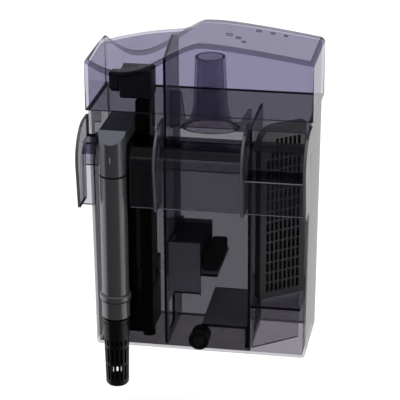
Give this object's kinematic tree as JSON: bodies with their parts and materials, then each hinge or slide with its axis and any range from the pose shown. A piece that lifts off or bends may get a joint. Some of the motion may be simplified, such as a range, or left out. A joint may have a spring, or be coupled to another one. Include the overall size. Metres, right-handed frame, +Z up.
{
  "type": "hang on back aquarium filter",
  "caption": "Clear smoke-tinted filter box that hangs over an aquarium's rim, with a waved lid, an intake tube with a strainer, a pump, filter media and a spillway.",
  "frame": {"origin": "middle of the hook deck's flat underside, which rests on the aquarium's rim", "axes": "+Z up; +Y away from the aquarium, towards the filter box; +X to the right seen from inside the aquarium"},
  "size_m": [0.183, 0.1155, 0.2865],
  "materials": {
    "smoke_clear": "clear smoke-tinted moulded plastic, glossy, with dark purple-grey edges",
    "dark_smoke": "dense smoke-tinted plastic, glossy, nearly black",
    "tube_plastic": "dark grey extruded tube, satin to glossy",
    "black_plastic": "black moulded plastic, satin",
    "grey_plastic": "dark grey moulded plastic, satin",
    "rubber": "black moulded rubber, matte",
    "steel": "bare metal, satin",
    "ceramic": "polished white ceramic rod",
    "impeller_plastic": "blue moulded plastic, satin",
    "foam": "open-cell filter foam, matte",
    "carbon": "pressed activated carbon, rough and matte"
  },
  "bodies": {
    "box": {"filter_body": "smoke_clear", "hook_spillway": "smoke_clear", "left_partition": "dark_smoke", "right_partition": "dark_smoke", "intake_elbow": "tube_plastic", "elbow_seal": "rubber", "intake_tube": "tube_plastic", "tube_collar": "tube_plastic", "riser_column": "black_plastic", "riser_cap": "grey_plastic", "motor_housing": "black_plastic", "motor_foot_left": "rubber", "motor_foot_right": "rubber", "lower_bush": "rubber", "upper_bush": "rubber", "impeller_shaft": "ceramic", "impeller_cover": "black_plastic", "cover_screw_left": "steel", "cover_screw_right": "steel", "cable_gland": "rubber", "lower_baffle": "dark_smoke", "cartridge_rest": "smoke_clear", "level_socket": "black_plastic"},
    "lid": {"lid": "smoke_clear"},
    "extension": {"extension_tube": "tube_plastic", "extension_seal": "rubber"},
    "strainer": {"strainer": "black_plastic"},
    "regulator": {"flow_knob": "grey_plastic", "flow_valve": "black_plastic"},
    "rotor": {"rotor_magnet": "steel", "impeller": "impeller_plastic"},
    "level_tip": {"level_pad": "rubber"},
    "level_screw": {"level_knob": "black_plastic"},
    "cassette": {"media_cassette": "dark_smoke", "cassette_grip": "dark_smoke", "filter_sponge": "foam", "carbon_block": "carbon"},
    "cartridge": {"cartridge_frame": "black_plastic", "cartridge_pad": "foam"}
  },
  "joints": [
    {"name": "lid_lift", "type": "slide", "parent": "box", "child": "lid", "axis": [0, 0, 1], "range_m": [0, 0.08]},
    {"name": "tube_extend", "type": "slide", "parent": "box", "child": "extension", "axis": [0, 0, -1], "range_m": [0, 0.05]},
    {"name": "strainer_pull", "type": "slide", "parent": "extension", "child": "strainer", "axis": [0, 0, -1], "range_m": [0, 0.02]},
    {"name": "flow_turn", "type": "hinge", "parent": "box", "child": "regulator", "pos_m": [-0.0666, 0.0259, 0.0423], "axis": [1, 0, 0], "range_deg": [0, 90]},
    {"name": "rotor_spin", "type": "hinge", "parent": "box", "child": "rotor", "pos_m": [-0.0585, 0.0295, -0.15], "axis": [0, 0, 1], "continuous": true},
    {"name": "level_travel", "type": "slide", "parent": "box", "child": "level_tip", "axis": [0, -1, 0], "range_m": [0, 0.006]},
    {"name": "level_turn", "type": "hinge", "parent": "level_tip", "child": "level_screw", "pos_m": [0, 0.0051, -0.1722], "axis": [0, -1, 0], "range_deg": [0, 1441]},
    {"name": "cassette_lift", "type": "slide", "parent": "box", "child": "cassette", "axis": [0, 0, 1], "range_m": [0, 0.01]},
    {"name": "cartridge_lift", "type": "slide", "parent": "box", "child": "cartridge", "axis": [0, 0, 1], "range_m": [0, 0.05]}
  ],
  "couplings": [
    {"joint": "level_turn", "follows": "level_travel", "rad_per_m": 4188.8}
  ]
}
